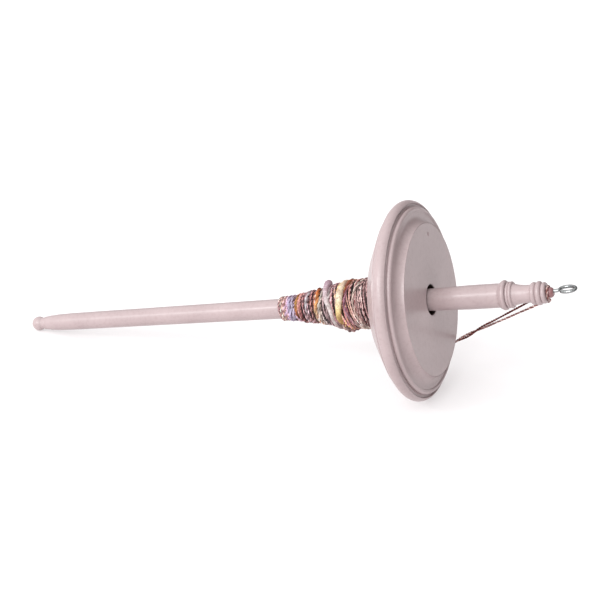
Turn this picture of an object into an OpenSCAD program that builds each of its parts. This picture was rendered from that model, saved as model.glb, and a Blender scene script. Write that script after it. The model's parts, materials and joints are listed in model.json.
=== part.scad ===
// Top-whorl drop spindle with a cop of spun yarn and its hitched leader.
// It lies at rest on the whorl's rim and on the ball at the foot of the shaft.
// Every piece is drawn along +Z, from the foot to the hook, with Z = 0 where the whorl is widest,
// and lay() then sets it down: row Z is up, the floor is Z = 0, the hook end points to +X.

/* [Whorl] */
// Diameter of the whorl at its rim, mm
whorl_d = 90; // [80:0.5:100]
// Radius of the rounded rim, mm
rim_round = 3.2; // [2.5:0.1:4]
// Diameter of the flat front face, mm
face_d = 68.6; // [60:0.1:74]
// Height of the front face above the widest plane, mm
face_z = 8; // [7:0.5:10]
// Depth of the back face below the widest plane, mm
back_z = 11.5; // [9:0.5:14]
// Diameter of the flat back face, mm
back_d = 57.2; // [50:0.1:64]
// Diameter of the hole through the whorl, mm
bore_d = 13.5; // [13:0.1:14]

/* [Shaft] */
// Distance from the widest plane down to the tip of the ball, mm
foot_len = 195.8; // [160:0.1:220]
// Diameter of the ball at the foot, mm
ball_d = 6.7; // [6:0.1:9]
// Diameter of the shaft under the cop, mm
shaft_d = 9.4; // [8:0.1:11]
// Diameter of the shaft between the whorl and the beads, mm
top_d = 10.8; // [9:0.1:12]
// Radial clearance between the seat and the whorl's hole, mm
seat_gap = 0.05; // [0.02:0.01:0.1]

/* [Hook] */
// Diameter of the hook's wire, mm
wire_d = 1.6; // [1.4:0.1:2]
// Outside length of the hook's oval ring, mm
hook_d = 8.8; // [8:0.1:11]
// Outside width of the hook's oval ring, mm
hook_w = 6.4; // [5.6:0.1:8]
// How far the hook is screwed round from the floor side, degrees
hook_turn = 98; // [0:1:359]
// How far the hook is screwed in off the shaft's centre, mm
hook_side = 0.6; // [0:0.1:0.6]

/* [Yarn] */
// Largest diameter of the wound cop, mm
cop_d = 23; // [12:0.5:40]
// Diameter of one strand of the leader, mm
strand_d = 1; // [0.8:0.1:1.4]

/* [Output] */
// Sub-part to draw

/* [Hidden] */
$fn = 96;
e = 0.01;
rim_r = whorl_d / 2;
rim_ring = rim_r - rim_round;
face_r = face_d / 2;
back_r = back_d / 2;
bore_r = bore_d / 2;
// Groove between the rim and the bead, ledge in front of the bead, and the cove up to the face.
groove_z = 2.5;
ledge_z = 4.1;
cove_r = face_z - ledge_z + 0.1;
ball_r = ball_d / 2;
ball_z = ball_r - foot_len;
// The collar the whorl rests on, and the close-fitting seat above it.
collar_r = 7.9;
collar_z = 3.2;
seat_r = bore_r - seat_gap;
seat_top = -1;
top_r = top_d / 2;
wire_r = wire_d / 2;
hook_ring = hook_d / 2 - wire_r;
hook_z = 70.5;
hook_oval = (hook_w / 2 - wire_r) / hook_ring;
// The ring stands off the shank's line, and a small bend leads the wire out to it.
hook_off = 1.3;
bend_r = 1.6;
bend_turn = acos((bend_r - hook_off) / (bend_r + hook_ring));
ring_turn = 312;
ring_step = 12;
bend_z = hook_z - (bend_r + hook_ring) * sin(bend_turn);
thread_z = 49;
thread_pitch = 1;
thread_n = 12;
thread_top = thread_z + thread_n * thread_pitch;
nose_z = 64.4;
cop_r = cop_d / 2;

// The tilt at which the rim and the ball both touch the floor, and the height of the widest plane.
reach = norm([rim_ring, ball_z]);
tilt = asin((rim_round - ball_r) / reach) + atan(rim_ring / -ball_z);
axis_h = rim_ring * cos(tilt) + rim_round;
// The row's origin is under the middle of the box around the whole spindle.
low_x = ball_z * cos(tilt) - ball_r;
// The off-centre hole lies this many degrees round from the floor side.
side_turn = 158;
hook_x = hook_side * cos(side_turn);
hook_y = hook_side * sin(side_turn);
hook_lean = hook_oval * cos(hook_turn) * sin(tilt);
high_x = hook_z * cos(tilt) + hook_x * sin(tilt) + hook_off * hook_lean
    + hook_ring * norm([cos(tilt), hook_lean]) + wire_r;
mid_x = (low_x + high_x) / 2;

// The leader's route as [distance from the axis, degrees round the axis from the floor side, height]:
// out of the cop, over the back of the whorl, round the rim, up to the beads, once round the nose,
// and the same way back beside itself.
route_up = [
    [11.6, -40, -14.4], [13.4, -8, -13.8], [16, 8, -13.4], [20, 21, -12.9], [24.5, 28, -12.5],
    [29, 33, -12.3], [32, 35.5, -10.6], [36, 38, -8.4], [40, 40, -6.2], [43.3, 41, -4.3],
    [45, 41, -2.8], [45.8, 41, -0.4], [45.4, 41, 1.6], [40.6, 41.2, 8.3], [35.8, 41.4, 15.2],
    [31, 41.8, 21.9], [25.9, 41.1, 29.1], [20.9, 40, 36.4], [15.8, 38.3, 43.6], [10.8, 35, 50.9],
    [5.9, 26, 58.1], [5.7, 24, 59.4], [5.5, 22, 60.4], [5.2, 20, 61.1], [4.7, 17, 61.6],
    [4, 12, 62], [3.3, 4, 62.2]
];
route_nose = [for (turn = [-10 : -19 : -238]) [2.85, turn, 62.2]];
route_down = [
    [3.3, 108, 62.2], [4, 98, 62], [4.7, 90, 61.6], [5.2, 83, 61.1], [5.5, 77, 60.4],
    [5.7, 70, 59.4], [5.9, 64, 58.1], [11.2, 52, 50.2], [15.9, 48.3, 43.4], [20.7, 46.2, 36.6],
    [25.5, 44.9, 29.9], [30.2, 44.1, 23.1], [35.4, 43.4, 15.7], [40.6, 42.9, 8.4],
    [45.4, 42.5, 1.6], [45.8, 42.5, -0.4], [45, 42.5, -2.8], [43.3, 42.5, -4.3],
    [40, 42.2, -6.2], [36, 40.8, -8.4], [32, 38.8, -10.6], [29, 36.6, -12.3],
    [24.5, 32.2, -12.9], [20, 25.6, -13.8], [16, 14.5, -14.8], [13.8, 1, -15.6], [12.3, -30, -16.4]
];
route = concat(route_up, route_nose, route_down);

// Sets a piece that was drawn along +Z down on the floor.
module lay() {
    translate([-mid_x, 0, axis_h])
        rotate([0, 90 - tilt, 0])
            children();
}

// Keeps the half of an outline that may be turned about the axis.
module turned(low, high) {
    rotate_extrude()
        intersection() {
            translate([0, low])
                square([rim_r + 1, high - low]);
            children();
        }
}

// Outline of the shaft from the ball to the collar under the whorl.
module lower_outline() {
    translate([0, ball_z])
        circle(r = ball_r);
    translate([0, ball_z])
        square([2.7, 4.4]);
    translate([2.2, -188.6])
        circle(r = 0.8);
    polygon([
        [0, -188.2], [3.05, -188.2], [3.45, -185.5], [3.75, -181.5], [3.95, -175], [4.05, -162],
        [4.15, -142], [4.3, -117], [4.5, -80], [shaft_d / 2, -50], [shaft_d / 2 + 0.2, -20],
        [collar_r - 0.6, -back_z - collar_z], [collar_r, -back_z - collar_z + 0.6],
        [collar_r, -back_z - seat_gap], [0, -back_z - seat_gap]
    ]);
}

// Outline of the seat and of the plain length above the whorl.
module upper_outline() {
    polygon([
        [0, -back_z - 1], [seat_r, -back_z - 1], [seat_r, seat_top - 0.6], [seat_r - 0.6, seat_top],
        [4.9, seat_top], [4.9, 4], [5.1, 14], [top_r, 26], [top_r, 41], [0, 41]
    ]);
}

// Outline of the turned beads and of the nose that holds the hook.
module bead_outline() {
    translate([5.1, 40.5])
        circle(r = 0.6);
    polygon([[5.1, 40.2], [5.6, 40.2], [6.53, 41.7], [5.1, 42.3]]);
    translate([5.55, 42.3])
        circle(r = 1.15);
    translate([5.25, 44.35])
        circle(r = 0.65);
    translate([5.2, 45.6])
        circle(r = 0.75);
    polygon([
        [0, 41], [5.1, 41], [5.1, 46], [4.8, 46.9], [4.5, 48], [4.2, 49.5], [4, 51.4], [3.95, 53.4],
        [4.05, 54.4], [4.05, 60], [3.3, 61.4], [2.3, 61.6], [2.3, 62.8], [2.45, 62.95], [2.35, 63.3],
        [2.1, 63.8], [1.75, 64.2], [1.5, nose_z], [0, nose_z]
    ]);
    translate([3.75, 55.65])
        circle(r = 1.3);
    translate([4.1, 58.1])
        circle(r = 1.25);
    translate([3.7, 60.35])
        circle(r = 1.05);
}

// Turned shaft with the drilled hole that takes the hook's thread.
module shaft() {
    color("#d3c3c2")
        lay()
            difference() {
                turned(-foot_len - 1, nose_z) {
                    lower_outline();
                    upper_outline();
                    bead_outline();
                }
                translate([hook_x, hook_y, thread_z - 2])
                    cylinder(r = wire_r + 0.02, h = nose_z - thread_z + 3);
            }
}

// Outline of the whorl: rounded rim, sloping back, groove, bead, ledge, cove and face.
module whorl_outline() {
    difference() {
        union() {
            intersection() {
                translate([rim_ring, 0])
                    circle(r = rim_round);
                translate([rim_ring - 2 * rim_round, -2 * rim_round])
                    square([4 * rim_round, 2 * rim_round + groove_z]);
            }
            polygon([
                [bore_r + 0.4, -back_z], [back_r - 0.5, -back_z], [back_r + 0.4, -back_z + 0.25],
                [rim_ring - 0.6, -4.4], [rim_ring - 0.6, groove_z], [rim_ring - 1.6, ledge_z],
                [face_r, ledge_z], [face_r, face_z - 0.2], [face_r - 0.2, face_z],
                [bore_r + 0.4, face_z], [bore_r, face_z - 0.4], [bore_r, -back_z + 0.4]
            ]);
            translate([rim_ring - 1.2, 3.35])
                circle(r = 1.2);
        }
        translate([rim_ring + 0.9, groove_z])
            circle(r = 0.8);
    }
    difference() {
        translate([face_r - e, ledge_z - e])
            square([cove_r + e, cove_r - 0.1 + e]);
        translate([face_r + cove_r, face_z + 0.1])
            circle(r = cove_r);
    }
}

// Turned whorl with the small pit in its face.
module whorl() {
    color("#d3c3c2")
        lay()
            difference() {
                turned(-back_z, face_z)
                    whorl_outline();
                translate([-27.2, 10.8, face_z - 0.7])
                    cylinder(r1 = 0.5, r2 = 1.2, h = 0.8);
            }
}

// Centreline of the wire above its thread: shank, small bend and almost closed ring.
function hook_route() = concat(
    [[0, 0, thread_top], [0, 0, (thread_top + bend_z) / 2]],
    [for (t = [0 : bend_turn / 6 : bend_turn])
        [hook_oval * bend_r * (1 - cos(t)), 0, bend_z + bend_r * sin(t)]],
    [for (t = [ring_step : ring_step : ring_turn]) [
        hook_oval * (hook_off + hook_ring * cos(bend_turn - t)), 0,
        hook_z - hook_ring * sin(bend_turn - t)
    ]]
);

// Wire hook: threaded point, plain shank, small bend and almost closed ring.
module hook() {
    color("#c8cacc")
        lay()
            translate([hook_x, hook_y, 0])
            rotate([0, 0, hook_turn]) {
                turned(thread_z - 1.5, thread_top + 1) {
                    polygon([
                        [0, thread_z - 1.5], [0.6, thread_z], [0.6, thread_top + 1],
                        [0, thread_top + 1]
                    ]);
                    for (i = [0 : thread_n - 1])
                        translate([0, thread_z + i * thread_pitch])
                            polygon([[0, 0], [0.6, 0], [wire_r, 0.5], [0.6, 1], [0, 1]]);
                }
                strand(hook_route(), wire_r, 16, [0, 1, 0]);
            }
}

// Yarn wound under the whorl, as the outside of the whole cop.
module cop() {
    color("#b58f80")
        lay()
            difference() {
                rotate_extrude()
                    polygon([
                        [4, -64.6], [5.2, -64.6], [5.7, -61], [6, -57], [6.6, -53.5], [7.4, -50],
                        [8, -46], [8.9, -41.5], [9.7, -37.5], [10.6, -34], [11, -30], [11.4, -25],
                        [cop_r, -20], [cop_r, -16], [cop_r - 0.8, -14.2], [cop_r - 2.4, -13],
                        [4, -13]
                    ]);
                rotate_extrude()
                    polygon([
                        [0, -70], [4.62, -70], [shaft_d / 2 + 0.05, -50], [shaft_d / 2 + 0.25, -20],
                        [collar_r - 0.55, -back_z - collar_z - 0.05], [collar_r + 0.05, -14.2],
                        [collar_r + 0.05, -12], [0, -12]
                    ]);
            }
}

// A point of the leader's route in the spindle's own frame.
function place(p) = [p[0] * cos(p[1]), p[0] * sin(p[1]), p[2]];
function unit(v) = v / norm(v);
// One ring of a round strand, square to its route at point i.
function ring(path, i, radius, sides, level) =
    let (
        last = len(path) - 1,
        along = unit(path[min(i + 1, last)] - path[max(i - 1, 0)]),
        side = unit(cross(along, level)),
        rise = cross(side, along)
    )
    [for (k = [0 : sides - 1])
        path[i] + radius * (cos(k * 360 / sides) * side + sin(k * 360 / sides) * rise)];

// A round strand swept along a route; level is a direction the route never points in.
module strand(path, radius, sides, level) {
    count = len(path);
    rings = [for (i = [0 : count - 1]) ring(path, i, radius, sides, level)];
    walls = [
        for (i = [0 : count - 2])
            for (k = [0 : sides - 1])
                [
                    i * sides + k, i * sides + (k + 1) % sides,
                    (i + 1) * sides + (k + 1) % sides, (i + 1) * sides + k
                ]
    ];
    first_cap = [[for (k = [sides - 1 : -1 : 0]) k]];
    last_cap = [[for (k = [0 : sides - 1]) (count - 1) * sides + k]];
    polyhedron(
        points = [for (r = rings) for (p = r) p],
        faces = concat(walls, first_cap, last_cap)
    );
}

// Looped leader yarn, up to the nose, round it and back down.
module leader() {
    color("#a06a5c")
        lay()
            strand([for (p = route) place(p)], strand_d / 2, 8, [0.36, -0.48, 0.8]);
}

shaft();
whorl();
hook();
cop();
leader();
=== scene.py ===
"""Looks of the drop spindle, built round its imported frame: painted turned wood, bright wire hook,
hand-spun yarn wound into a cop, and the looped leader that runs over the whorl's rim to the nose."""

import json
import math

import bpy
import numpy as np
from mathutils import Matrix, Vector


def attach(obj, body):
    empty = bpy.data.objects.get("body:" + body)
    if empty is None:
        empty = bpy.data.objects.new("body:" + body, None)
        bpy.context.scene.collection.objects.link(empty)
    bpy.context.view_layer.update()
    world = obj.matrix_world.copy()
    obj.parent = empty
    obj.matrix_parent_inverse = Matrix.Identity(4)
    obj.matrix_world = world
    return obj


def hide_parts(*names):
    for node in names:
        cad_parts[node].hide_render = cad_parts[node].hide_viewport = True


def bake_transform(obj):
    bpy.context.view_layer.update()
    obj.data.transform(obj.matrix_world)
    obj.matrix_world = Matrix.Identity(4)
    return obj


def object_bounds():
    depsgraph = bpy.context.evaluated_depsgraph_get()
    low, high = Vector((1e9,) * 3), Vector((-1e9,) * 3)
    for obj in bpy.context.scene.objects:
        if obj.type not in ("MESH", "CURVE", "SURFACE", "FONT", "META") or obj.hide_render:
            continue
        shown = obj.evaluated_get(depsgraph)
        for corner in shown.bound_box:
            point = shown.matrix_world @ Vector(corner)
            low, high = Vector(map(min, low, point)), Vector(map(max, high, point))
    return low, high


MM = 0.001

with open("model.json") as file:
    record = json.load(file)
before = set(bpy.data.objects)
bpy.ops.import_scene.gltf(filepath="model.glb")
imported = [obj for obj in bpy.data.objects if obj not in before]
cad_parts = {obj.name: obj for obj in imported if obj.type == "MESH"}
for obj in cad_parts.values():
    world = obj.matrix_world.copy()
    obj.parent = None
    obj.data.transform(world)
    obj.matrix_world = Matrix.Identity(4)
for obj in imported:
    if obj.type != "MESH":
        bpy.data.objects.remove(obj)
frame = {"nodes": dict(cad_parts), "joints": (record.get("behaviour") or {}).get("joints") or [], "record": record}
cad_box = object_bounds()

# ---------------------------------------------------------------- the spindle's own frame

# Height of the hook's ring above the whorl's widest plane, along the spindle, and how far its
# middle stands off the axis towards the floor and across, in mm.
HOOK_RING_Z = 70.5
HOOK_RING_FLOORWARD = -0.677
HOOK_RING_ACROSS = 1.083
AXIS = Vector(frame["joints"][0]["axis"]).normalized()
ACROSS = Vector((0.0, 1.0, 0.0))
FLOORWARD = ACROSS.cross(AXIS)
ORIGIN = Vector(frame["record"]["mounts"][0]["pos_m"]) - MM * (
    AXIS * HOOK_RING_Z + FLOORWARD * HOOK_RING_FLOORWARD + ACROSS * HOOK_RING_ACROSS)
BASIS = np.array([FLOORWARD, ACROSS, AXIS])


def place(points):
    """Points (x, y, z) in mm in the spindle's own frame, as metres in the row frame."""
    return np.asarray(points, float) @ BASIS * MM + np.array(ORIGIN)


def polar(radius, turn, z):
    """A point by its distance from the axis, its angle from the floor side and its height, mm."""
    a = math.radians(turn)
    return np.array([radius * math.cos(a), radius * math.sin(a), z])


# ---------------------------------------------------------------- camera

CAMERA_TURN = math.radians(20.5)
CAMERA_RISE = math.radians(23.6)
CAMERA_FAR = 1.0
# Where the middle of the whorl sits in the picture: right of and above its centre, in metres.
WHORL_RIGHT = 0.0512
WHORL_UP = -0.0003


def make_camera():
    looking = Vector((
        -math.sin(CAMERA_TURN) * math.cos(CAMERA_RISE),
        math.cos(CAMERA_TURN) * math.cos(CAMERA_RISE),
        -math.sin(CAMERA_RISE),
    ))
    right = Vector((math.cos(CAMERA_TURN), math.sin(CAMERA_TURN), 0.0))
    up = right.cross(looking)
    data = bpy.data.cameras.new("camera")
    data.sensor_width = 36.0
    data.lens = 134.64
    data.clip_start = 0.05
    data.clip_end = 50.0
    camera = bpy.data.objects.new("camera", data)
    bpy.context.scene.collection.objects.link(camera)
    turn = Matrix((right, up, -looking)).transposed()
    spot = ORIGIN - right * WHORL_RIGHT - up * WHORL_UP - looking * CAMERA_FAR
    camera.matrix_world = Matrix.Translation(spot) @ turn.to_4x4()
    bpy.context.scene.camera = camera
    return right, up, looking


RIGHT, UP, LOOKING = make_camera()

# ---------------------------------------------------------------- node materials


def new_material(name):
    material = bpy.data.materials.new(name)
    material.use_nodes = True
    tree = material.node_tree
    shader = tree.nodes["Principled BSDF"]
    return material, tree, shader


def node(tree, kind, **values):
    made = tree.nodes.new(kind)
    for key, value in values.items():
        if hasattr(made, key):
            setattr(made, key, value)
        else:
            made.inputs[key.replace("_", " ")].default_value = value
    return made


def spindle_coords(tree):
    """Object coordinates turned into the spindle's own frame, so marks follow the lathe."""
    coords = node(tree, "ShaderNodeTexCoord")
    turned = node(tree, "ShaderNodeMapping", vector_type="POINT")
    back = Matrix(BASIS.tolist())
    turned.inputs["Rotation"].default_value = back.to_euler()
    turned.inputs["Location"].default_value = -(back @ ORIGIN)
    tree.links.new(coords.outputs["Object"], turned.inputs["Vector"])
    return turned.outputs["Vector"]


def noise(tree, vector, scale, detail=3.0, rough=0.55, stretch=None):
    """Noise at so many features a metre, stretched by a factor along each axis."""
    if stretch is not None:
        pull = node(tree, "ShaderNodeMapping", vector_type="POINT")
        pull.inputs["Scale"].default_value = stretch
        tree.links.new(vector, pull.inputs["Vector"])
        vector = pull.outputs["Vector"]
    made = node(tree, "ShaderNodeTexNoise", Scale=scale, Detail=detail, Roughness=rough)
    tree.links.new(vector, made.inputs["Vector"])
    return made.outputs["Fac"]


def ramp(tree, fac, stops):
    made = node(tree, "ShaderNodeValToRGB")
    elements = made.color_ramp.elements
    while len(elements) < len(stops):
        elements.new(0.5)
    for element, (at, colour) in zip(elements, stops):
        element.position = at
        element.color = (*colour, 1.0)
    tree.links.new(fac, made.inputs["Fac"])
    return made.outputs["Color"]


def maths(tree, how, *values):
    made = node(tree, "ShaderNodeMath", operation=how)
    for socket, value in zip(made.inputs, values):
        if isinstance(value, (int, float)):
            socket.default_value = value
        else:
            tree.links.new(value, socket)
    return made.outputs[0]


def mix_colour(tree, how, fac, a, b):
    made = node(tree, "ShaderNodeMix", data_type="RGBA", blend_type=how)
    for socket, value in ((made.inputs[0], fac), (made.inputs[6], a), (made.inputs[7], b)):
        if isinstance(value, (int, float)):
            socket.default_value = value
        elif isinstance(value, tuple):
            socket.default_value = (*value, 1.0)
        else:
            tree.links.new(value, socket)
    return made.outputs[2]


def bump(tree, shader, height, depth):
    """Relief in metres from a 0 to 1 height."""
    made = node(tree, "ShaderNodeBump", Strength=1.0, Distance=depth)
    tree.links.new(height, made.inputs["Height"])
    tree.links.new(made.outputs["Normal"], shader.inputs["Normal"])


def srgb(r, g, b):
    """A colour as seen, 0 to 255, as the linear numbers a shader takes."""
    return tuple(
        c / 12.92 if c <= 0.04045 else ((c + 0.055) / 1.055) ** 2.4
        for c in (r / 255, g / 255, b / 255)
    )


def across_and_along(tree, at):
    """Distance from the spindle's axis and height along it."""
    split = node(tree, "ShaderNodeSeparateXYZ")
    tree.links.new(at, split.inputs[0])
    flat = node(tree, "ShaderNodeCombineXYZ")
    tree.links.new(split.outputs[0], flat.inputs[0])
    tree.links.new(split.outputs[1], flat.inputs[1])
    size = node(tree, "ShaderNodeVectorMath", operation="LENGTH")
    tree.links.new(flat.outputs[0], size.inputs[0])
    return size.outputs["Value"], split.outputs[2]


def fade(tree, value, low, high):
    """0 where a distance in metres is below low mm, 1 above high mm."""
    made = node(tree, "ShaderNodeMapRange", interpolation_type="SMOOTHSTEP")
    made.inputs["From Min"].default_value = low * MM
    made.inputs["From Max"].default_value = high * MM
    tree.links.new(value, made.inputs["Value"])
    return made.outputs["Result"]


# Where the painted shade round the whorl's hole gives way to the paint, distance from the axis, and where it
# gives way on the shaft above and below its hidden seat, height along the spindle; and where the nose's painted
# shade, a deeper pink, begins, mm.
HOLE_SHADE_EDGE = (6.82, 7.05)
SEAT_SHADE_TOP = (-1.0, 7.6)
SEAT_SHADE_FOOT = (11.4, 11.6)
NOSE_SHADE_START = (61.2, 61.8)


def painted_wood(name, flat_face):
    """Satin paint over turned wood: grain and tool rings showing faintly through; painted shade in the whorl's
    hole, on the shaft's hidden seat and on the nose.
    """
    material, tree, shader = new_material(name)
    at = spindle_coords(tree)
    out_from_axis, along_axis = across_and_along(tree, at)
    cloud = noise(tree, at, 45.0, 4.0, 0.6)
    speck = noise(tree, at, 700.0, 2.0, 0.6)
    paint = ramp(tree, cloud, [(0.3, srgb(168, 149, 150)), (0.7, srgb(177, 158, 159))])
    paint = mix_colour(tree, "MULTIPLY", 0.25, paint, ramp(
        tree, speck, [(0.34, srgb(224, 214, 213)), (0.5, (1.0, 1.0, 1.0))]))
    # Painted shade: the wall of the whorl's hole and the part of the shaft inside it are painted near-black, for
    # the shade in the deep gap between them.
    if flat_face:
        clear_of_painted_shade = fade(tree, out_from_axis, *HOLE_SHADE_EDGE)
    else:
        clear_of_painted_shade = fade(tree, along_axis, *SEAT_SHADE_TOP)
        lower = fade(tree, maths(tree, "MULTIPLY", along_axis, -1.0), *SEAT_SHADE_FOOT)
        clear_of_painted_shade = maths(tree, "MAXIMUM", clear_of_painted_shade, lower)
        # Painted shade: the nose round the hook is painted a deeper pink, for the shade on it.
        paint = mix_colour(
            tree, "MULTIPLY", fade(tree, along_axis, *NOSE_SHADE_START), paint, (0.58, 0.34, 0.35))
    # Near-black painted shade in the hole and on the hidden seat; the paint everywhere else.
    paint = mix_colour(tree, "MIX", clear_of_painted_shade, (0.03, 0.017, 0.014), paint)
    tree.links.new(paint, shader.inputs["Base Color"])
    gloss = noise(tree, at, 160.0, 3.0, 0.6)
    tree.links.new(maths(tree, "MULTIPLY_ADD", gloss, 0.12, 0.29), shader.inputs["Roughness"])
    shader.inputs["Coat Weight"].default_value = 0.1
    shader.inputs["Coat Roughness"].default_value = 0.2
    if flat_face:
        along = node(tree, "ShaderNodeCombineXYZ")
        tree.links.new(out_from_axis, along.inputs[0])
        rings = noise(tree, along.outputs[0], 1500.0, 2.0, 0.5)
        grain = noise(tree, at, 700.0, 3.0, 0.6, stretch=(1.0, 0.06, 1.0))
    else:
        rings = noise(tree, at, 1100.0, 2.0, 0.5, stretch=(0.04, 0.04, 1.0))
        grain = noise(tree, at, 900.0, 3.0, 0.6, stretch=(1.0, 1.0, 0.03))
    height = maths(tree, "ADD", maths(tree, "MULTIPLY", rings, 0.5),
                   maths(tree, "MULTIPLY", grain, 0.8))
    height = maths(tree, "ADD", height, maths(tree, "MULTIPLY", speck, 0.4))
    bump(tree, shader, height, 0.000009)
    return material


def plated_wire(name):
    """Bright plated steel, a little dulled by handling."""
    material, tree, shader = new_material(name)
    at = spindle_coords(tree)
    shader.inputs["Metallic"].default_value = 1.0
    dull = noise(tree, at, 600.0, 3.0, 0.6)
    tree.links.new(
        ramp(tree, dull, [(0.3, (0.16, 0.165, 0.17)), (0.7, (0.40, 0.41, 0.41))]),
        shader.inputs["Base Color"])
    tree.links.new(maths(tree, "MULTIPLY_ADD", dull, 0.14, 0.08), shader.inputs["Roughness"])
    bump(tree, shader, noise(tree, at, 2500.0, 2.0, 0.5), 0.000012)
    return material


def wool(name, bump_m=0.00012):
    """Matt wool: the tint painted on the yarn, broken up by fine fibres."""
    material, tree, shader = new_material(name)
    tint = node(tree, "ShaderNodeAttribute", attribute_name="tint")
    at = spindle_coords(tree)
    fibre = noise(tree, at, 2600.0, 3.0, 0.7, stretch=(1.0, 1.0, 0.35))
    patch = noise(tree, at, 420.0, 2.0, 0.5)
    colour = mix_colour(tree, "MULTIPLY", 0.9, tint.outputs["Color"], ramp(
        tree, fibre, [(0.3, (0.36, 0.28, 0.28)), (0.6, (1.0, 1.0, 1.0))]))
    colour = mix_colour(tree, "MULTIPLY", 0.7, colour, ramp(
        tree, patch, [(0.35, (0.62, 0.52, 0.52)), (0.6, (1.0, 1.0, 1.0))]))
    tree.links.new(colour, shader.inputs["Base Color"])
    shader.inputs["Roughness"].default_value = 0.86
    shader.inputs["Specular IOR Level"].default_value = 0.12
    shader.inputs["Sheen Weight"].default_value = 0.05
    shader.inputs["Sheen Roughness"].default_value = 0.5
    bump(tree, shader, fibre, bump_m)
    return material


# ---------------------------------------------------------------- yarn in mesh code


def smooth_route(points, spacing):
    """A curve through points, in steps of about spacing mm (Catmull-Rom)."""
    points = np.asarray(points, float)
    padded = np.vstack([2 * points[0] - points[1], points, 2 * points[-1] - points[-2]])
    out = []
    for i in range(1, len(padded) - 2):
        a, b, c, d = padded[i - 1:i + 3]
        steps = max(2, int(np.linalg.norm(c - b) / spacing))
        t = np.linspace(0, 1, steps, endpoint=False)[:, None]
        out.append(0.5 * (2 * b + (c - a) * t + (2 * a - 5 * b + 4 * c - d) * t ** 2
                          + (3 * b - a - 3 * c + d) * t ** 3))
    out.append(points[-1][None])
    return np.vstack(out)


def frames_along(path):
    """Tangent and two cross directions at each point, turned as little as possible."""
    tangent = np.gradient(path, axis=0)
    tangent /= np.linalg.norm(tangent, axis=1)[:, None]
    side = np.zeros_like(path)
    start = np.cross(tangent[0], [0.31, 0.62, 0.72])
    side[0] = start / np.linalg.norm(start)
    for i in range(1, len(path)):
        s = side[i - 1] - tangent[i] * (side[i - 1] @ tangent[i])
        side[i] = s / np.linalg.norm(s)
    return tangent, side, np.cross(tangent, side)


def tube(path, radius, tint, sides=6):
    """A tube round a path: points in mm, quads, and a tint at each point. Its ends taper to a third of the radius.
    """
    count = len(path)
    radius = np.broadcast_to(np.asarray(radius, float), (count,)).copy()
    radius[0] *= 0.3
    radius[-1] *= 0.3
    _, side, rise = frames_along(path)
    turn = np.linspace(0, 2 * np.pi, sides, endpoint=False)
    ring = (side[:, None] * np.cos(turn)[None, :, None] + rise[:, None] * np.sin(turn)[None, :, None])
    points = (path[:, None] + ring * radius[:, None, None]).reshape(-1, 3)
    k = np.arange(sides)
    i = np.arange(count - 1)[:, None] * sides
    quads = np.stack([i + k, i + (k + 1) % sides, i + sides + (k + 1) % sides, i + sides + k], -1)
    tints = np.repeat(np.broadcast_to(tint, (count, 3)), sides, axis=0)
    return points, quads.reshape(-1, 4), tints


class Yarn:
    """Gathers tubes into one mesh object."""

    def __init__(self):
        self.points, self.quads, self.tints, self.count = [], [], [], 0

    def add(self, path, radius, tint, sides=6):
        points, quads, tints = tube(path, radius, tint, sides)
        self.points.append(points)
        self.quads.append(quads + self.count)
        self.tints.append(tints)
        self.count += len(points)

    def add_plied(self, path, radius, tints, lay=4.2, sides=6, start=0.0):
        """Two plies twisted round a path; radius is the whole yarn's, lay one turn's length."""
        _, side, rise = frames_along(path)
        radius = np.broadcast_to(np.asarray(radius, float), (len(path),))
        run = np.concatenate([[0], np.cumsum(np.linalg.norm(np.diff(path, axis=0), axis=1))])
        angle = start + 2 * np.pi * run / lay
        for ply, tint in enumerate(tints):
            a = angle + ply * np.pi
            off = (side * np.cos(a)[:, None] + rise * np.sin(a)[:, None]) * radius[:, None] * 0.46
            self.add(path + off, radius * 0.6, tint, sides)

    def add_hairs(self, path, radius, tints, per_mm, dice, reach=1.6):
        """Loose fibres that stand off the yarn."""
        run = np.linalg.norm(np.diff(path, axis=0), axis=1).sum()
        tangent, side, rise = frames_along(path)
        radius = np.broadcast_to(np.asarray(radius, float), (len(path),))
        tints = np.broadcast_to(tints, (len(path), 3))
        for _ in range(int(run * per_mm)):
            i = dice.integers(1, len(path) - 1)
            a = dice.uniform(0, 2 * np.pi)
            out = side[i] * np.cos(a) + rise[i] * np.sin(a)
            along = tangent[i] * dice.choice([-1, 1])
            length = dice.uniform(0.5, reach)
            s = np.linspace(0, 1, 6)[:, None]
            bend = dice.normal(0, 0.25, 3)
            hair = (path[i] + out * radius[i] * 0.7
                    + length * (along * s * 0.75 + out * s ** 1.6 * 0.55 + bend * s ** 2))
            self.add(hair, 0.028, tints[i] * 0.6 + 0.3, 3)

    def make(self, name, material, body):
        points = place(np.vstack(self.points))
        quads = np.vstack(self.quads)
        mesh = bpy.data.meshes.new(name)
        mesh.vertices.add(len(points))
        mesh.vertices.foreach_set("co", points.ravel())
        mesh.loops.add(quads.size)
        mesh.loops.foreach_set("vertex_index", quads.ravel())
        mesh.polygons.add(len(quads))
        mesh.polygons.foreach_set("loop_start", np.arange(0, quads.size, 4))
        mesh.polygons.foreach_set("loop_total", np.full(len(quads), 4))
        mesh.update(calc_edges=True)
        mesh.polygons.foreach_set("use_smooth", np.ones(len(quads), bool))
        tint = mesh.color_attributes.new("tint", "FLOAT_COLOR", "POINT")
        rgba = np.hstack([np.vstack(self.tints), np.ones((self.count, 1))])
        tint.data.foreach_set("color", rgba.ravel())
        mesh.validate()
        piece = bpy.data.objects.new(name, mesh)
        bpy.context.scene.collection.objects.link(piece)
        mesh.materials.append(material)
        if body:
            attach(piece, body)
        return piece


# ---------------------------------------------------------------- cop

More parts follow.
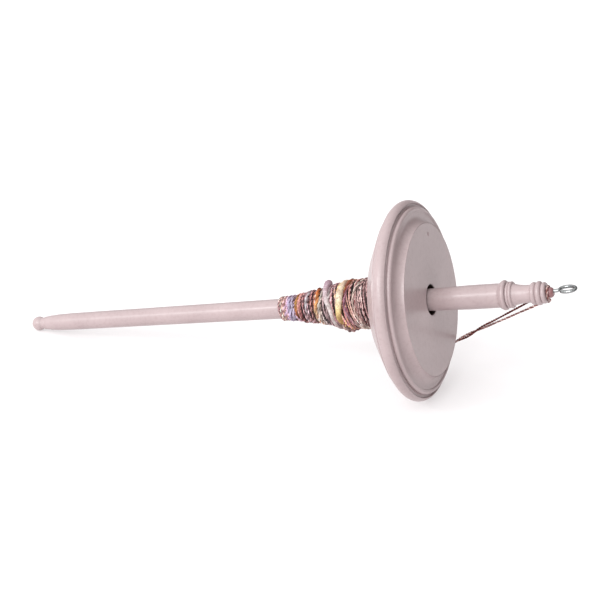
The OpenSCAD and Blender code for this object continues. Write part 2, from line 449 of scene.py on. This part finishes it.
# Outside of the cop: height along the spindle and radius, mm.
COP_Z = [-65.0, -61, -57, -53.5, -50, -46, -41.5, -37.5, -34, -30, -25, -20, -15.5, -13.4]
COP_R = [5.0, 5.6, 5.9, 6.5, 7.3, 7.9, 8.8, 9.6, 10.5, 10.9, 11.3, 11.4, 11.3, 9.6]
SHAFT_Z = [-80, -50, -20, -15]
SHAFT_R = [4.5, 4.7, 4.9, 7.0]

# What the dyed fleece runs through along the cop: height, then the two plies' colours as seen.
FLEECE = [
    (-65.0, (186, 158, 164), (222, 206, 186)),
    (-60.7, (158, 122, 118), (230, 214, 192)),
    (-59.4, (212, 198, 222), (218, 204, 226)),
    (-57.3, (208, 194, 216), (206, 184, 196)),
    (-56.3, (212, 176, 142), (164, 122, 112)),
    (-53.5, (150, 98, 92), (222, 196, 186)),
    (-51.0, (164, 124, 128), (226, 218, 222)),
    (-49.0, (206, 196, 202), (150, 100, 84)),
    (-46.5, (150, 96, 104), (196, 164, 150)),
    (-45.0, (206, 152, 116), (216, 188, 158)),
    (-43.4, (222, 194, 164), (228, 218, 208)),
    (-42.4, (232, 226, 222), (206, 196, 194)),
    (-38.5, (196, 180, 180), (150, 122, 124)),
    (-36.0, (112, 74, 80), (172, 140, 146)),
    (-34.4, (196, 172, 166), (110, 66, 66)),
    (-33.0, (238, 220, 184), (232, 206, 150)),
    (-31.4, (226, 196, 120), (178, 128, 100)),
    (-29.6, (160, 112, 132), (196, 150, 158)),
    (-27.0, (128, 76, 66), (214, 190, 160)),
    (-24.5, (206, 178, 174), (238, 226, 216)),
    (-21.5, (122, 76, 76), (230, 212, 206)),
    (-18.0, (212, 186, 184), (118, 72, 72)),
    (-13.0, (186, 152, 150), (226, 206, 200)),
]


def fleece(z, ply):
    """The fleece's colour at heights z for one ply."""
    at = [stop[0] for stop in FLEECE]
    colours = np.array([srgb(*stop[1 + ply]) for stop in FLEECE])
    return np.stack([np.interp(z, at, colours[:, c]) for c in range(3)], -1)


def wander(dice, count, size, grain):
    """A smooth random line with about one turn of mind every grain points."""
    knots = dice.normal(0, size, max(4, count // grain + 3))
    return np.interp(np.linspace(0, len(knots) - 1, count), np.arange(len(knots)), knots)


def winding(dice, z_from, z_to, turns, depth, slant, start):
    """Part of the cop's winding, down to depth mm under the outside; it sags by slant mm below."""
    count = int(turns * 56)
    turn = np.linspace(0, turns * 2 * np.pi, count) + math.radians(start)
    z = np.linspace(z_from, z_to, count)
    z += slant * np.cos(turn - math.radians(350) + wander(dice, count, 0.5, 160))
    z += wander(dice, count, 0.26, 34)
    z = np.clip(z, COP_Z[0] + 0.6, COP_Z[-1] - 0.2)
    outside = np.interp(z, COP_Z, COP_R)
    core = np.interp(z, SHAFT_Z, SHAFT_R)
    radius = np.maximum(outside - depth + wander(dice, count, 0.14, 26), core + 0.55)
    return np.stack([radius * np.cos(turn), radius * np.sin(turn), z], -1)


def thickness(dice, count, mean):
    """Hand-spun yarn is thick and thin, with a slub now and then."""
    size = mean + wander(dice, count, mean * 0.22, 30)
    for _ in range(max(1, count // 700)):
        middle = dice.integers(0, count)
        size += mean * dice.uniform(0.3, 0.8) * np.exp(-((np.arange(count) - middle) / 18.0) ** 2)
    return np.clip(size, mean * 0.5, mean * 1.9)


def dyed(dice, z, grain):
    """Colour along a strand: the fleece at about this height, changing every few mm."""
    pick = np.clip(0.5 + wander(dice, len(z), 0.55, grain), 0, 1)[:, None]
    shift = wander(dice, len(z), 1.3, grain * 3)
    colour = fleece(z + shift, 0) * pick + fleece(z + shift, 1) * (1 - pick)
    colour *= (1.15, 0.99, 1.03)
    light = 1 + wander(dice, len(z), 0.32, grain) + wander(dice, len(z), 0.4, 50)
    return np.clip(colour * np.clip(light, 0.15, 1.7)[:, None], 0.004, 0.95)


# A strand that grows thicker than this is an untwisted slub, mm; a pass with a shade factor under this
# lies deep in the cop, as one plain strand darkened as painted shade for the gaps between the outer turns.
SLUB_R = 1.2
DEEP_PAINTED_SHADE = 0.5


def make_cop():
    dice = np.random.default_rng(41)
    yarn = Yarn()
    hairs = Yarn()
    # From, to, turns, depth under the outside, sag, start angle and shade factor (painted shade when small) of
    # each pass.
    passes = [
        (-59.5, -13.8, 40, 1.35, 0.3, 0, 0.05),
        (-13.8, -58.5, 34, 0.85, 0.5, 70, 0.13),
        (-64.4, -56.5, 10, 0.6, 0.1, 20, 1.05),
        (-64.4, -14.0, 27, 0.45, 0.8, 200, 0.95),
        (-64.4, -44.0, 15, 0.3, 0.5, 100, 1.15),
        (-14.0, -41.0, 12, 0.25, 1.9, 30, 1.15),
        (-41.0, -14.2, 10, 0.12, 2.6, 250, 1.25),
    ]
    for z_from, z_to, turns, depth, slant, start, painted_shade_or_tone in passes:
        path = winding(dice, z_from, z_to, turns, depth, slant, start)
        size = thickness(dice, len(path), 0.47)
        if painted_shade_or_tone < DEEP_PAINTED_SHADE:
            # Painted shade: the deep pass's yarn is darkened nearly to black.
            yarn.add(path, size * 1.15, dyed(dice, path[:, 2], 16) * painted_shade_or_tone)
            continue
        plies = [dyed(dice, path[:, 2], 12) * painted_shade_or_tone for _ in range(2)]
        yarn.add_plied(path, size, plies, lay=3.0, start=dice.uniform(0, 6))
        hairs.add_hairs(path, size, plies[1], 0.25, dice)
    # The strands that stand out: (radius above the outside, angle, height), thickness and
    # colours along each.
    standing = [
        ([(0.2, 120, -43.0), (0.6, 150, -41.4), (1.1, 166, -40.5), (0.7, 202, -40.0),
          (0.3, 234, -39.0), (0.2, 250, -37.6), (0.2, 268, -36.8), (0.2, 292, -36.4),
          (0.2, 318, -35.4), (0.0, 350, -33.0)],
         [0.6, 1.2, 1.9, 1.3, 1.1, 1.05, 1.0, 0.95, 0.8, 0.6],
         [(150, 112, 118), (176, 146, 158), (190, 164, 176), (206, 192, 196), (222, 214, 212),
          (214, 204, 202), (190, 172, 172), (206, 188, 186)]),
        ([(0.1, 190, -38.6), (0.1, 214, -37.8), (0.1, 240, -38.4), (0.1, 262, -38.8),
          (0.1, 290, -38.2), (0.0, 330, -36.8)],
         [0.5, 0.8, 0.85, 0.8, 0.7, 0.5],
         [(170, 150, 154), (206, 196, 196), (186, 166, 166), (158, 126, 130), (196, 176, 170)]),
        ([(0.0, 150, -31.6), (0.25, 186, -31.4), (0.35, 212, -31.8), (0.45, 238, -32.1),
          (0.4, 262, -32.6), (0.25, 282, -33.0), (0.0, 320, -32.8)],
         [0.6, 1.0, 1.35, 1.5, 1.4, 1.05, 0.6],
         [(170, 120, 92), (214, 190, 164), (232, 214, 188), (238, 226, 200), (232, 208, 150),
          (212, 174, 108), (200, 164, 134)]),
        ([(0.0, 156, -45.4), (0.2, 186, -44.4), (0.3, 212, -43.9), (0.2, 238, -44.0),
          (0.0, 262, -44.8), (0.0, 300, -45.2)],
         [0.6, 0.9, 1.1, 1.0, 0.7, 0.5],
         [(128, 66, 52), (190, 100, 60), (226, 140, 82), (226, 168, 112), (226, 196, 156),
          (226, 206, 184)]),
        ([(0.0, 156, -59.6), (0.1, 200, -59.2), (0.2, 236, -58.9), (0.2, 272, -58.6),
          (0.1, 305, -58.8), (0.0, 345, -59.4)],
         [0.5, 0.8, 0.95, 0.95, 0.85, 0.6],
         [(180, 164, 186), (206, 192, 222), (214, 202, 230), (206, 192, 224), (190, 172, 206)]),
        ([(0.0, 156, -58.0), (0.1, 200, -57.6), (0.2, 236, -57.2), (0.2, 272, -56.9),
          (0.1, 305, -57.1), (0.0, 345, -57.8)],
         [0.5, 0.7, 0.85, 0.85, 0.7, 0.5],
         [(176, 158, 176), (198, 184, 212), (220, 210, 234), (208, 196, 222), (186, 170, 196)]),
        ([(0.0, 160, -54.6), (0.1, 200, -54.8), (0.2, 230, -55.2), (0.1, 262, -55.4),
          (0.0, 300, -55.0)],
         [0.5, 0.65, 0.7, 0.65, 0.5],
         [(120, 70, 50), (200, 140, 84), (222, 170, 104), (190, 120, 84), (120, 64, 56)]),
        ([(0.0, 160, -49.6), (0.1, 196, -49.4), (0.2, 226, -49.8), (0.1, 256, -49.8),
          (0.0, 292, -48.8)],
         [0.5, 0.65, 0.7, 0.6, 0.5],
         [(150, 110, 110), (216, 208, 212), (224, 220, 226), (196, 184, 190), (160, 120, 116)]),
        ([(0.0, 160, -42.0), (0.1, 204, -41.7), (0.2, 232, -42.4), (0.2, 256, -43.0),
          (0.1, 288, -43.2), (0.0, 330, -42.6)],
         [0.5, 0.6, 0.7, 0.75, 0.7, 0.5],
         [(206, 190, 180), (226, 216, 206), (238, 232, 222), (232, 214, 200), (206, 180, 164)]),
        ([(0.0, 150, -28.8), (0.2, 176, -28.6), (0.3, 200, -29.0), (0.1, 226, -29.8),
          (0.0, 250, -30.4)],
         [0.6, 0.9, 1.0, 0.7, 0.5],
         [(120, 62, 50), (164, 100, 74), (150, 84, 66), (96, 46, 40)]),
        ([(0.0, 170, -27.4), (0.2, 202, -28.2), (0.3, 228, -29.2), (0.3, 250, -29.6),
          (0.3, 270, -28.8), (0.3, 296, -26.4), (0.2, 316, -23.4), (0.0, 350, -19.0)],
         [0.5, 0.6, 0.6, 0.6, 0.65, 0.65, 0.6, 0.5],
         [(196, 160, 90), (150, 100, 110), (176, 130, 150), (206, 170, 176), (236, 222, 206),
          (226, 200, 186)]),
        ([(0.0, 150, -21.0), (0.2, 186, -22.6), (0.3, 212, -24.6), (0.3, 236, -25.4),
          (0.3, 260, -24.8), (0.3, 290, -23.0), (0.2, 330, -20.0), (0.0, 370, -16.5)],
         [0.5, 0.55, 0.6, 0.6, 0.6, 0.6, 0.55, 0.5],
         [(226, 206, 190), (240, 226, 214), (222, 190, 180), (236, 216, 206), (200, 160, 150)]),
        ([(0.0, 280, -34.6), (0.5, 306, -33.0), (0.9, 330, -31.4), (0.5, 352, -29.6),
          (0.0, 380, -27.4)],
         [0.6, 0.9, 1.05, 0.9, 0.6],
         [(150, 106, 100), (206, 184, 178), (196, 160, 160), (150, 104, 104)]),
    ]
    for spots, sizes, colours in standing:
        route = [polar(np.interp(z, COP_Z, COP_R) + up, turn, z) for up, turn, z in spots]
        path = smooth_route(route, 0.4)
        s = np.linspace(0, 1, len(path))
        size = np.interp(s, np.linspace(0, 1, len(sizes)), sizes)
        size *= 1 + wander(dice, len(path), 0.07, 10)
        stops = np.array([srgb(*c) for c in colours])
        tint = np.stack([np.interp(s, np.linspace(0, 1, len(stops)), stops[:, c])
                         for c in range(3)], -1)
        tint *= (1 + wander(dice, len(path), 0.12, 6))[:, None]
        if max(sizes) > SLUB_R:
            yarn.add(path, size, tint, 10)
        else:
            yarn.add_plied(path, size * 0.92, [tint, tint * 0.55], lay=6.0, sides=8)
        hairs.add_hairs(path, size, tint, 1.0, dice, 2.0)
    wound = yarn.make("cop_yarn", wool("wool_cop"), "spindle")
    hairs.make("cop_fuzz", wool("wool_cop_fuzz"), "spindle")
    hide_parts("cop")


def make_painted_shade_core():
    """The inner yarn as one tube painted near-black: painted shade, seen only as dark gaps between the turns."""
    core = Yarn()
    z = np.linspace(COP_Z[0] + 0.5, COP_Z[-1] - 0.2, 60)
    radius = np.maximum(np.interp(z, COP_Z, COP_R) - 1.5, np.interp(z, SHAFT_Z, SHAFT_R) + 0.15)
    path = np.stack([np.zeros_like(z), np.zeros_like(z), z], -1)
    # Near-black: painted shade for the inside of the cop.
    core.add(path, radius, np.array([srgb(40, 18, 18)]), 48)
    core.make("cop_core", wool("wool_painted_shade_core"), "spindle")


make_cop()
make_painted_shade_core()

# ---------------------------------------------------------------- leader

STRAND_R = 0.5
# Route of the looped leader: distance from the axis, angle from the floor side, height.
LEADER_UNDER = [
    (11.6, -40, -14.4), (13.4, -8, -13.8), (16, 8, -13.4), (20, 21, -12.9), (24.5, 28, -12.5),
    (29, 33, -12.3), (32, 35.5, -10.6), (36, 38, -8.4), (40, 40, -6.2), (43.3, 41, -4.3),
    (45, 41, -2.8), (45.8, 41, -0.4),
]
LEADER_UP = [
    (45.8, 41, -0.4), (45.4, 41, 1.6), (40.6, 41.2, 8.3), (35.8, 41.4, 15.2), (31, 41.8, 21.9),
    (25.9, 41.1, 29.1), (20.9, 40, 36.4), (15.8, 38.3, 43.6), (10.8, 35, 50.9), (5.9, 26, 58.1),
    (5.7, 24, 59.4), (5.5, 22, 60.4), (5.2, 20, 61.1), (4.7, 17, 61.6), (4, 12, 62),
    (3.3, 4, 62.2),
]
LEADER_NOSE = [(2.85, turn, 62.2) for turn in range(-10, -239, -19)]
LEADER_DOWN = [
    (3.3, -252, 62.2), (4, -262, 62), (4.7, -270, 61.6), (5.2, -277, 61.1), (5.5, -283, 60.4),
    (5.7, -290, 59.4), (5.9, -296, 58.1), (11.2, -308, 50.2), (15.9, -311.7, 43.4),
    (20.7, -313.8, 36.6), (25.5, -315.1, 29.9), (30.2, -315.9, 23.1), (35.4, -316.6, 15.7),
    (40.6, -317.1, 8.4), (45.4, -317.5, 1.6), (45.8, -317.5, -0.4),
]
LEADER_BACK = [
    (45.8, 42.5, -0.4), (45, 42.5, -2.8), (43.3, 42.5, -4.3), (40, 42.2, -6.2), (36, 40.8, -8.4),
    (32, 38.8, -10.6), (29, 36.6, -12.3), (24.5, 32.2, -12.9), (20, 25.6, -13.8),
    (16, 14.5, -14.8), (13.8, 1, -15.6), (12.3, -30, -16.4),
]
# The two plies of each of the leader's strands.
UP_PLIES = (srgb(150, 98, 94), srgb(222, 194, 188))
DOWN_PLIES = (srgb(94, 36, 34), srgb(156, 92, 86))


# The two strands turn once round each other between these heights, mm, and come together over
# the first and last few mm.
TWIST_LOW = 2.0
TWIST_HIGH = 26.0
TWIST_ENDS = 3.0


def leader_paths():
    """The strand up to the nose and round it, and the strand down; twisted together near the rim."""
    up = smooth_route([polar(*spot) for spot in LEADER_UP + LEADER_NOSE], 0.35)
    down = smooth_route([polar(*spot) for spot in LEADER_DOWN], 0.35)
    down = down[::-1]
    straight = [path.copy() for path in (up, down)]
    for path, other in ((up, straight[1]), (down, straight[0])):
        near = (path[:, 2] > TWIST_LOW) & (path[:, 2] < TWIST_HIGH)
        near &= np.arange(len(path)) < len(path) // 2
        spots = path[near]
        run = other[:len(other) // 2]
        beside = np.stack([np.interp(spots[:, 2], run[:, 2], run[:, c]) for c in range(3)], -1)
        middle = (spots + beside) / 2
        reach = (spots - beside) / 2
        along = np.gradient(middle, axis=0)
        along /= np.linalg.norm(along, axis=1)[:, None]
        size = np.linalg.norm(reach, axis=1)[:, None]
        reach /= size
        z = spots[:, 2:]
        tight = np.clip(np.minimum(z - TWIST_LOW, TWIST_HIGH - z) / TWIST_ENDS, 0, 1)
        turn = (TWIST_HIGH - z) / (TWIST_HIGH - TWIST_LOW) * 2 * np.pi
        turned = reach * np.cos(turn) + np.cross(along, reach) * np.sin(turn)
        path[near] = middle + turned * (size * (1 - tight) + STRAND_R * 0.95 * tight)
    return up, down


def make_leader():
    dice = np.random.default_rng(7)
    material = wool("wool_leader", 0.00004)
    up, down = leader_paths()
    parts = [
        ("leader_over_whorl", [
            (smooth_route([polar(*spot) for spot in LEADER_UNDER], 0.35), UP_PLIES),
            (smooth_route([polar(*spot) for spot in LEADER_BACK], 0.35), DOWN_PLIES)]),
        ("leader_to_nose", [(up, UP_PLIES), (down, DOWN_PLIES)]),
    ]
    pieces = []
    for name, strands in parts:
        yarn = Yarn()
        for path, plies in strands:
            size = STRAND_R * (1 + wander(dice, len(path), 0.09, 14))
            tints = [np.array([colour]) * (1 + wander(dice, len(path), 0.2, 12))[:, None]
                     for colour in plies]
            yarn.add_plied(path, size, tints, lay=3.4, sides=6, start=dice.uniform(0, 6))
            yarn.add_hairs(path, size, tints[1], 0.4, dice, 1.3)
        pieces.append(yarn.make(name, material, None))
    under, to_nose = pieces
    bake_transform(under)
    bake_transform(to_nose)
    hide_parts("leader")


make_leader()

# ---------------------------------------------------------------- carried-over CAD pieces


def repaint(name, material):
    piece = frame["nodes"][name]
    for spot in piece.material_slots:
        spot.material = material


repaint("shaft", painted_wood("painted_shaft", False))
repaint("whorl", painted_wood("painted_whorl", True))
repaint("hook", plated_wire("plated_wire"))

# ---------------------------------------------------------------- floor and light


def make_floor():
    mesh = bpy.data.meshes.new("floor")
    half = 6.0
    corners = [(-half, -half, 0), (half, -half, 0), (half, half, 0), (-half, half, 0)]
    mesh.from_pydata(corners, [], [(0, 1, 2, 3)])
    floor = bpy.data.objects.new("floor", mesh)
    bpy.context.scene.collection.objects.link(floor)
    floor.location.z = cad_box[0][2] - 0.0002
    material, tree, shader = new_material("floor")
    coords = node(tree, "ShaderNodeTexCoord")
    mottle = noise(tree, coords.outputs["Object"], 30.0)
    tree.links.new(
        ramp(tree, mottle, [(0.3, (0.49, 0.47, 0.475)), (0.7, (0.51, 0.49, 0.495))]),
        shader.inputs["Base Color"])
    shader.inputs["Roughness"].default_value = 0.7
    shader.inputs["Specular IOR Level"].default_value = 0.1
    # A backlit table top, which keeps the shadows pale.
    shader.inputs["Emission Color"].default_value = (1.0, 0.985, 0.99, 1.0)
    shader.inputs["Emission Strength"].default_value = 0.5
    mesh.materials.append(material)


def make_light():
    world = bpy.data.worlds.new("studio")
    bpy.context.scene.world = world
    world.use_nodes = True
    tree = world.node_tree
    sky = tree.nodes["Background"]
    coords = node(tree, "ShaderNodeTexCoord")
    lean = node(tree, "ShaderNodeVectorMath", operation="DOT_PRODUCT")
    lean.inputs[1].default_value = (-RIGHT * 0.6 + UP * 0.55 - LOOKING * 0.45).normalized()
    tree.links.new(coords.outputs["Generated"], lean.inputs[0])
    # Nearly dark low on the right, bright high on the left behind the camera.
    glow = node(tree, "ShaderNodeMapRange", interpolation_type="SMOOTHSTEP",
                From_Min=-0.55, From_Max=1.0, To_Min=0.02, To_Max=1.45)
    tree.links.new(lean.outputs["Value"], glow.inputs["Value"])
    tree.links.new(glow.outputs["Result"], sky.inputs["Strength"])
    sky.inputs["Color"].default_value = (1.0, 1.0, 1.0, 1.0)

    def sun(name, toward, strength, spread):
        data = bpy.data.lights.new(name, "SUN")
        data.color = (0.95, 1.0, 0.995)
        data.energy = strength
        data.angle = math.radians(spread)
        lamp = bpy.data.objects.new(name, data)
        bpy.context.scene.collection.objects.link(lamp)
        lamp.rotation_euler = toward.to_track_quat("Z", "Y").to_euler()

    sun("key", -RIGHT * 0.40 + UP * 0.27 - LOOKING * 0.88, 1.5, 36)
    sun("glint", -RIGHT * 0.71 + UP * 0.30 - LOOKING * 0.62, 0.5, 7)


make_floor()
make_light()
bpy.context.scene.view_settings.view_transform = "Standard"
